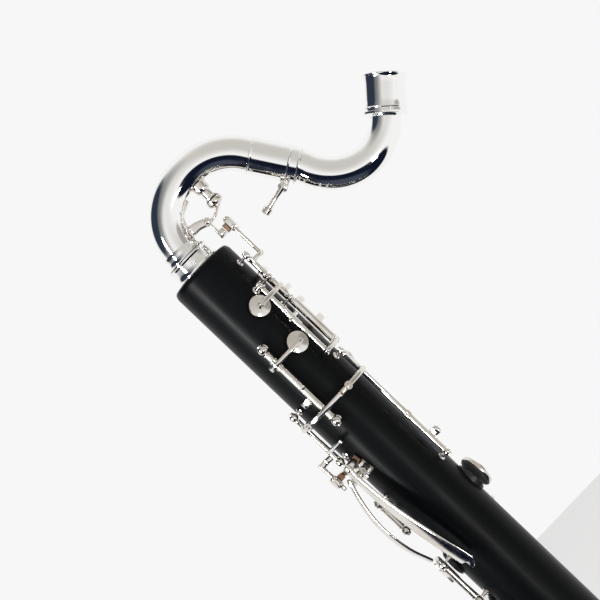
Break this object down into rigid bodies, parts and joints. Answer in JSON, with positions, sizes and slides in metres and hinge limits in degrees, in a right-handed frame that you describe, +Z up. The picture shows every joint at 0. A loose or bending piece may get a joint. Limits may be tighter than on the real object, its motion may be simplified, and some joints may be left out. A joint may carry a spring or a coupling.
{
  "type": "bass clarinet",
  "caption": "Bass clarinet with a curved plated neck, straight black body, plated keys on hinge rods, an upturned bell and a floor peg.",
  "frame": {"origin": "centre of the floor peg foot, straight under the bore", "axes": "+Z up along the bore, +X towards the player (the neck side), -Y the player's left"},
  "size_m": [0.3813, 0.1344, 1.0234],
  "materials": {
    "black_body": "satin",
    "black_rims": "satin",
    "silver_plate": "polished",
    "steel_rods": "polished",
    "pads": "satin",
    "cork": "matte",
    "rubber_foot": "matte"
  },
  "bodies": {
    "body": {"upper_body": "black_body", "lower_body": "black_body", "body_rings": "silver_plate", "middle_tenon_cork": "cork", "neck_receiver": "silver_plate", "tone_hole_rims": "black_rims", "upper_posts": "silver_plate", "lower_posts": "silver_plate", "upper_rods": "steel_rods", "lower_rods": "steel_rods", "strap_ring": "silver_plate", "thumb_rest": "silver_plate", "bell_bow": "silver_plate", "bell": "silver_plate", "bell_brace": "silver_plate", "peg_holder": "silver_plate"},
    "neck": {"neck_lower_tube": "silver_plate", "neck_tenon_cork": "cork", "tuning_sleeve": "silver_plate", "neck_brace": "silver_plate", "neck_vent": "silver_plate"},
    "neck_slide": {"neck_upper_tube": "silver_plate"},
    "clamp_screw": {"clamp_screw": "silver_plate"},
    "neck_key": {"neck_key": "silver_plate", "neck_pad": "pads"},
    "register_link": {"register_link": "silver_plate", "register_link_cork": "cork"},
    "register_key": {"register_key": "silver_plate"},
    "trill_key": {"trill_key": "silver_plate", "trill_pad": "pads"},
    "transfer_key": {"transfer_key": "silver_plate"},
    "throat_key": {"throat_key": "silver_plate", "throat_pad": "pads"},
    "bridge_lever": {"bridge_lever": "silver_plate"},
    "link_key": {"link_key": "silver_plate", "link_key_cork": "cork"},
    "vent_key": {"vent_key": "silver_plate"},
    "left_lever_inner": {"left_lever_inner": "silver_plate", "left_lever_inner_cork": "cork"},
    "left_lever_outer": {"left_lever_outer": "silver_plate"},
    "thumb_key": {"thumb_key": "silver_plate", "thumb_pad": "pads"},
    "left_index_key": {"left_index_key": "silver_plate", "left_index_pad": "pads"},
    "left_middle_key": {"left_middle_key": "silver_plate", "left_middle_pad": "pads"},
    "left_ring_key": {"left_ring_key": "silver_plate", "left_ring_pad": "pads"},
    "side_key_1": {"side_key_1": "silver_plate"},
    "side_key_2": {"side_key_2": "silver_plate"},
    "right_index_key": {"right_index_key": "silver_plate"},
    "right_middle_key": {"right_middle_key": "silver_plate"},
    "right_ring_key": {"right_ring_key": "silver_plate"},
    "little_key_1": {"little_key_1": "silver_plate"},
    "little_key_2": {"little_key_2": "silver_plate"},
    "little_key_3": {"little_key_3": "silver_plate"},
    "little_key_4": {"little_key_4": "silver_plate"},
    "floor_peg": {"floor_peg": "silver_plate", "peg_foot": "rubber_foot"},
    "peg_screw": {"peg_screw": "silver_plate"}
  },
  "joints": [
    {"name": "register_key_hinge", "type": "hinge", "parent": "body", "child": "register_key", "pos_m": [0.02842, -0.01576, 0.882], "axis": [0, 0, 1], "range_deg": [0, 5], "stiffness_Nm_per_rad": 0.03, "springref_deg": -14.32},
    {"name": "register_link_hinge", "type": "hinge", "parent": "body", "child": "register_link", "pos_m": [0.02842, -0.01576, 0.933], "axis": [0, 0, 1], "range_deg": [0, 5], "stiffness_Nm_per_rad": 0.03, "springref_deg": -14.32},
    {"name": "trill_key_hinge", "type": "hinge", "parent": "body", "child": "trill_key", "pos_m": [0.02842, -0.01576, 0.914], "axis": [0, 0, 1], "range_deg": [0, 8], "stiffness_Nm_per_rad": 0.03, "springref_deg": -14.32},
    {"name": "transfer_key_hinge", "type": "hinge", "parent": "body", "child": "transfer_key", "pos_m": [0.01981, -0.02319, 0.893], "axis": [0, 0, 1], "range_deg": [-3, 0], "stiffness_Nm_per_rad": 0.03, "springref_deg": 14.32},
    {"name": "throat_key_hinge", "type": "hinge", "parent": "body", "child": "throat_key", "pos_m": [-0.00892, -0.02864, 0.86], "axis": [0, 0, 1], "range_deg": [-8, 0], "stiffness_Nm_per_rad": 0.03, "springref_deg": 14.32},
    {"name": "bridge_lever_hinge", "type": "hinge", "parent": "body", "child": "bridge_lever", "pos_m": [0.02609, -0.0158, 0.81], "axis": [0, 0, 1], "range_deg": [-4.3, 0], "stiffness_Nm_per_rad": 0.03, "springref_deg": 14.32},
    {"name": "link_key_hinge", "type": "hinge", "parent": "body", "child": "link_key", "pos_m": [-0.02729, -0.0147, 0.826], "axis": [0, 0, 1], "range_deg": [0, 3.4], "stiffness_Nm_per_rad": 0.03, "springref_deg": -14.32},
    {"name": "vent_key_hinge", "type": "hinge", "parent": "body", "child": "vent_key", "pos_m": [-0.03026, -0.01101, 0.755], "axis": [0, 0, 1], "range_deg": [0, 8], "stiffness_Nm_per_rad": 0.03, "springref_deg": -14.32},
    {"name": "thumb_key_hinge", "type": "hinge", "parent": "body", "child": "thumb_key", "pos_m": [0.02266, 0.02188, 0.732], "axis": [0, 0, 1], "range_deg": [-7, 0], "stiffness_Nm_per_rad": 0.03, "springref_deg": 14.32},
    {"name": "left_index_key_hinge", "type": "hinge", "parent": "body", "child": "left_index_key", "pos_m": [-0.03015, -0.01342, 0.693], "axis": [0, 0, 1], "range_deg": [-8, 0], "stiffness_Nm_per_rad": 0.03, "springref_deg": 14.32},
    {"name": "left_middle_key_hinge", "type": "hinge", "parent": "body", "child": "left_middle_key", "pos_m": [-0.03015, -0.01342, 0.656], "axis": [0, 0, 1], "range_deg": [-8, 0], "stiffness_Nm_per_rad": 0.03, "springref_deg": 14.32},
    {"name": "left_ring_key_hinge", "type": "hinge", "parent": "body", "child": "left_ring_key", "pos_m": [-0.03015, -0.01342, 0.616], "axis": [0, 0, 1], "range_deg": [-8, 0], "stiffness_Nm_per_rad": 0.03, "springref_deg": 14.32},
    {"name": "side_key_1_hinge", "type": "hinge", "parent": "body", "child": "side_key_1", "pos_m": [0.01643, 0.02629, 0.734], "axis": [0, 0, 1], "range_deg": [0, 12], "stiffness_Nm_per_rad": 0.03, "springref_deg": -14.32},
    {"name": "side_key_2_hinge", "type": "hinge", "parent": "body", "child": "side_key_2", "pos_m": [-0.00538, 0.03053, 0.726], "axis": [0, 0, 1], "range_deg": [-12, 0], "stiffness_Nm_per_rad": 0.03, "springref_deg": 14.32},
    {"name": "right_index_key_hinge", "type": "hinge", "parent": "body", "child": "right_index_key", "pos_m": [-0.03015, -0.01342, 0.547], "axis": [0, 0, 1], "range_deg": [-8, 0], "stiffness_Nm_per_rad": 0.03, "springref_deg": 14.32},
    {"name": "right_middle_key_hinge", "type": "hinge", "parent": "body", "child": "right_middle_key", "pos_m": [-0.03015, -0.01342, 0.513], "axis": [0, 0, 1], "range_deg": [-8, 0], "stiffness_Nm_per_rad": 0.03, "springref_deg": 14.32},
    {"name": "right_ring_key_hinge", "type": "hinge", "parent": "body", "child": "right_ring_key", "pos_m": [-0.03015, -0.01342, 0.479], "axis": [0, 0, 1], "range_deg": [-8, 0], "stiffness_Nm_per_rad": 0.03, "springref_deg": 14.32},
    {"name": "little_key_1_hinge", "type": "hinge", "parent": "body", "child": "little_key_1", "pos_m": [-0.01778, 0.02539, 0.4], "axis": [0, 0, 1], "range_deg": [0, 9], "stiffness_Nm_per_rad": 0.03, "springref_deg": -14.32},
    {"name": "little_key_2_hinge", "type": "hinge", "parent": "body", "child": "little_key_2", "pos_m": [0.01778, 0.02539, 0.374], "axis": [0, 0, 1], "range_deg": [-9, 0], "stiffness_Nm_per_rad": 0.03, "springref_deg": 14.32},
    {"name": "little_key_3_hinge", "type": "hinge", "parent": "body", "child": "little_key_3", "pos_m": [-0.01993, -0.02375, 0.341], "axis": [0, 0, 1], "range_deg": [-8, 0], "stiffness_Nm_per_rad": 0.03, "springref_deg": 14.32},
    {"name": "little_key_4_hinge", "type": "hinge", "parent": "body", "child": "little_key_4", "pos_m": [0.01993, -0.02375, 0.321], "axis": [0, 0, 1], "range_deg": [0, 8], "stiffness_Nm_per_rad": 0.03, "springref_deg": -14.32},
    {"name": "left_lever_inner_pin", "type": "hinge", "parent": "body", "child": "left_lever_inner", "pos_m": [-0.02227, -0.02227, 0.791], "axis": [0.7002, -0.7002, 0.1392], "range_deg": [0, 3.5], "stiffness_Nm_per_rad": 0.05, "springref_deg": -17.19},
    {"name": "left_lever_outer_pin", "type": "hinge", "parent": "body", "child": "left_lever_outer", "pos_m": [-0.02832, -0.01261, 0.789], "axis": [0.4067, -0.9135, 0], "range_deg": [0, 4], "stiffness_Nm_per_rad": 0.05, "springref_deg": -17.19},
    {"name": "neck_turn", "type": "hinge", "parent": "body", "child": "neck", "pos_m": [0, 0, 0.965], "axis": [0, 0, 1], "range_deg": [-5, 5]},
    {"name": "tuning_slide", "type": "slide", "parent": "neck", "child": "neck_slide", "axis": [0.5225, 0, -0.8526], "range_m": [0, 0.012]},
    {"name": "clamp_screw_turn", "type": "hinge", "parent": "neck", "child": "clamp_screw", "pos_m": [0.07822, 0, 0.95758], "axis": [0, 1, 0], "range_deg": [-35, 35]},
    {"name": "neck_key_pin", "type": "hinge", "parent": "neck", "child": "neck_key", "pos_m": [0.0265, 0, 0.978], "axis": [0, 1, 0], "range_deg": [0, 6.6], "stiffness_Nm_per_rad": 0.03, "springref_deg": -17.19},
    {"name": "peg_slide", "type": "slide", "parent": "body", "child": "floor_peg", "axis": [0, 0, 1], "range_m": [0, 0.04]},
    {"name": "peg_screw_turn", "type": "hinge", "parent": "body", "child": "peg_screw", "pos_m": [0.014, 0, 0.084], "axis": [1, 0, 0], "range_deg": [-90, 90]}
  ],
  "couplings": [
    {"joint": "register_link_hinge", "follows": "register_key_hinge", "ratio": 1},
    {"joint": "neck_key_pin", "follows": "register_key_hinge", "ratio": 1.3},
    {"joint": "transfer_key_hinge", "follows": "register_key_hinge", "ratio": -0.6},
    {"joint": "link_key_hinge", "follows": "left_lever_outer_pin", "ratio": 0.84},
    {"joint": "bridge_lever_hinge", "follows": "left_lever_outer_pin", "ratio": -1.07}
  ]
}
